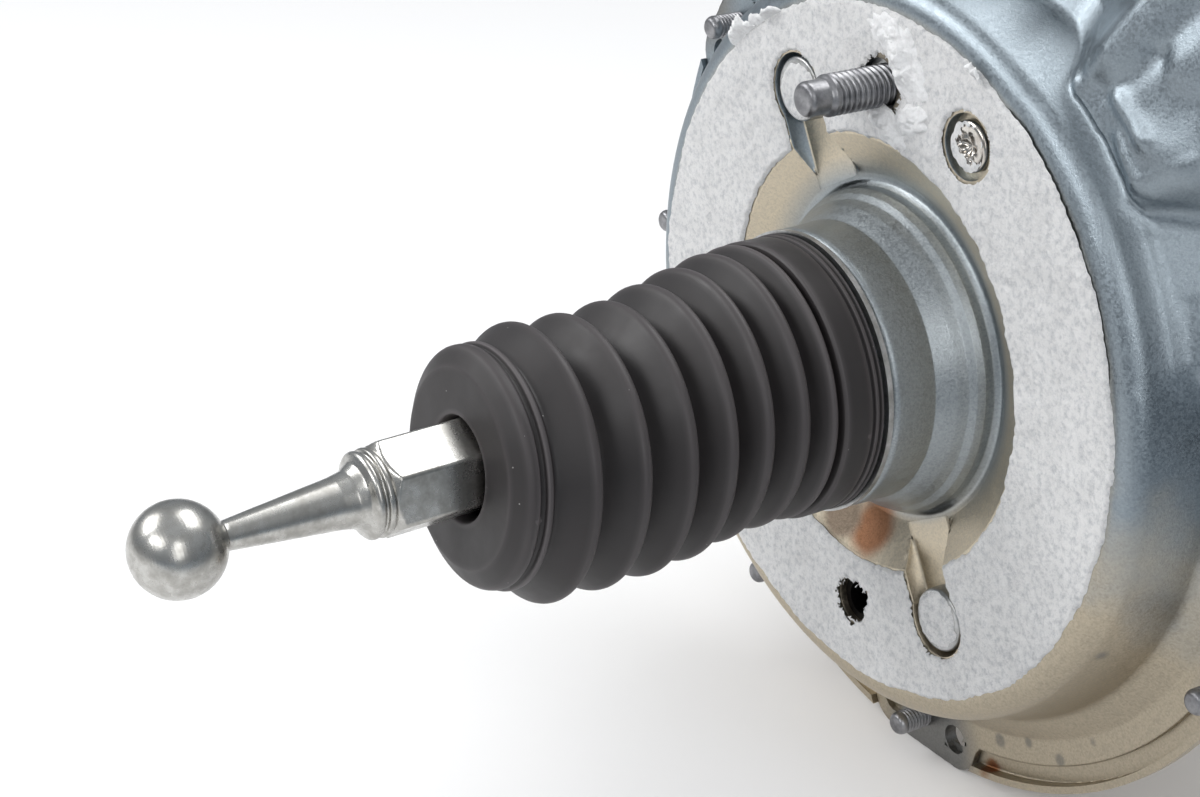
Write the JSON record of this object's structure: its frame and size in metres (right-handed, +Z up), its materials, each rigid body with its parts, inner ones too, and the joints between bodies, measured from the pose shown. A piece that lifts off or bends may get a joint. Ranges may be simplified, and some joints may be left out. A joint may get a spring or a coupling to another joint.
{
  "type": "vacuum brake booster",
  "caption": "Round vacuum brake booster with a ball-ended push rod, a ribbed rubber boot, a studded mounting face and a sprung piston inside pressed shells.",
  "frame": {"origin": "on the booster's axis at the outer face of the mounting gasket", "axes": "+Y along the axis from the pedal side to the master cylinder, +Z up, +X completes the frame"},
  "size_m": [0.1939, 0.2781, 0.1889],
  "materials": {
    "shell_sheet": "zinc-coated pressed steel sheet with a fine grain",
    "plated_steel": "zinc-plated turned steel",
    "polished_steel": "bright polished plated steel",
    "spring_steel": "drawn spring wire",
    "boot_rubber": "moulded soft rubber",
    "seal_rubber": "moulded rubber",
    "fleece": "needled grey-white fleece",
    "phenolic": "moulded dark resin",
    "nylon": "moulded nylon",
    "filter_felt": "open felt"
  },
  "bodies": {
    "housing": {"rear_shell": "shell_sheet", "front_shell": "shell_sheet", "front_support_plate": "shell_sheet", "mounting_gasket": "fleece", "backing_plate": "plated_steel", "mounting_stud": "plated_steel", "threaded_insert": "plated_steel", "recess_screw": "plated_steel", "recess_nut": "plated_steel", "tie_rods": "plated_steel", "tie_rod_seals": "seal_rubber", "rim_screws": "plated_steel", "neck_bush": "nylon", "neck_seal": "seal_rubber", "seal_washer": "plated_steel", "clip_ring": "plated_steel", "dust_boot": "boot_rubber", "valve_grommet": "seal_rubber", "valve_housing": "nylon", "valve_spring": "spring_steel", "diaphragm": "seal_rubber", "return_spring": "spring_steel"},
    "piston": {"valve_body": "phenolic", "support_plate": "plated_steel", "tie_rod_guides": "nylon", "diaphragm_clip": "plated_steel", "reaction_disc": "seal_rubber", "output_rod": "plated_steel", "output_tip": "polished_steel", "output_retainer": "plated_steel", "stop_key": "plated_steel", "poppet_valve": "seal_rubber", "poppet_retainer": "plated_steel", "poppet_spring": "spring_steel", "filter_ring": "filter_felt", "rod_spring": "spring_steel"},
    "plunger": {"plunger": "plated_steel"},
    "push_rod": {"input_rod": "plated_steel", "ball_end": "polished_steel", "spring_seat": "plated_steel"},
    "check_disc": {"valve_disc": "seal_rubber"}
  },
  "joints": [
    {"name": "piston_slide", "type": "slide", "parent": "housing", "child": "piston", "axis": [0, 1, 0], "range_m": [0, 0.03], "stiffness_N_per_m": 3500, "deforming": ["return_spring", "diaphragm", "dust_boot"]},
    {"name": "plunger_slide", "type": "slide", "parent": "piston", "child": "plunger", "axis": [0, 1, 0], "range_m": [0, 0.002], "stiffness_N_per_m": 4000, "deforming": ["rod_spring", "poppet_valve", "poppet_spring"]},
    {"name": "rod_swing", "type": "hinge", "parent": "plunger", "child": "push_rod", "pos_m": [0, -0.0005, 0], "axis": [-1, 0, 0], "range_deg": [0, 4]},
    {"name": "check_valve", "type": "slide", "parent": "housing", "child": "check_disc", "axis": [0, 1, 0], "range_m": [0, 0.0015], "stiffness_N_per_m": 80, "deforming": ["valve_spring"]}
  ]
}
